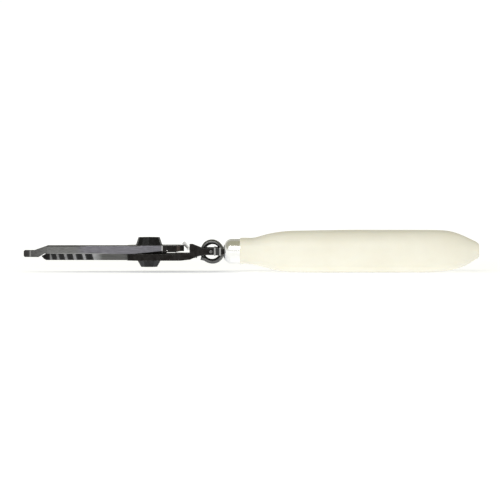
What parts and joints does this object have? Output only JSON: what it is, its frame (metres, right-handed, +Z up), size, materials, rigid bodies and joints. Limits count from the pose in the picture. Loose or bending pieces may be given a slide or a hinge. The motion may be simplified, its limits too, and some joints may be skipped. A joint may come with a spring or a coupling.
{
  "type": "leather shears",
  "caption": "Spring-loaded leather shears: lapped serrated and blunt-tipped blades on a bolted pivot, coil spring, thumb latch, ferruled moulded grips.",
  "frame": {"origin": "under the middle of the closed shears' outline, on the plane that the grips rest on", "axes": "+X from the blade tips to the grips, +Z up, along the pivot; the serrated lower blade's lever is on the -Y side"},
  "size_m": [0.21, 0.0438, 0.0192],
  "materials": {
    "black_forged_steel": "black oxide over forged and ground steel, satin",
    "black_fastener": "black oxide, satin",
    "spring_steel": "oil-tempered wire, dark grey, semi-gloss",
    "collar_steel": "dark plated, worn bright at its rims",
    "polished_ferrule": "polished",
    "ivory_grip": "smooth moulded, soft gloss",
    "latch_steel": "zinc plated, dulled"
  },
  "bodies": {
    "far_lever": {"upper_blade": "black_forged_steel", "pivot_bolt": "black_fastener", "pivot_nut": "black_fastener", "nut_washer": "black_fastener", "coil_spring": "spring_steel", "spring_peg_far": "spring_steel", "collar_far": "collar_steel", "ferrule_far": "polished_ferrule", "grip_far": "ivory_grip", "latch_rivet": "latch_steel", "latch_washer": "latch_steel"},
    "near_lever": {"lower_blade": "black_forged_steel", "spring_peg_near": "spring_steel", "collar_near": "collar_steel", "ferrule_near": "polished_ferrule", "grip_near": "ivory_grip", "latch_stud": "latch_steel"},
    "latch": {"latch_plate": "latch_steel"}
  },
  "joints": [
    {"name": "main_hinge", "type": "hinge", "parent": "far_lever", "child": "near_lever", "pos_m": [-0.0471, 0, 0.0085], "axis": [0, 0, -1], "range_deg": [0, 26], "deforming": ["coil_spring"]},
    {"name": "latch_turn", "type": "hinge", "parent": "far_lever", "child": "latch", "pos_m": [-0.0266, 0.0074, 0.0105], "axis": [0, 0, 1], "range_deg": [0, 7]}
  ]
}
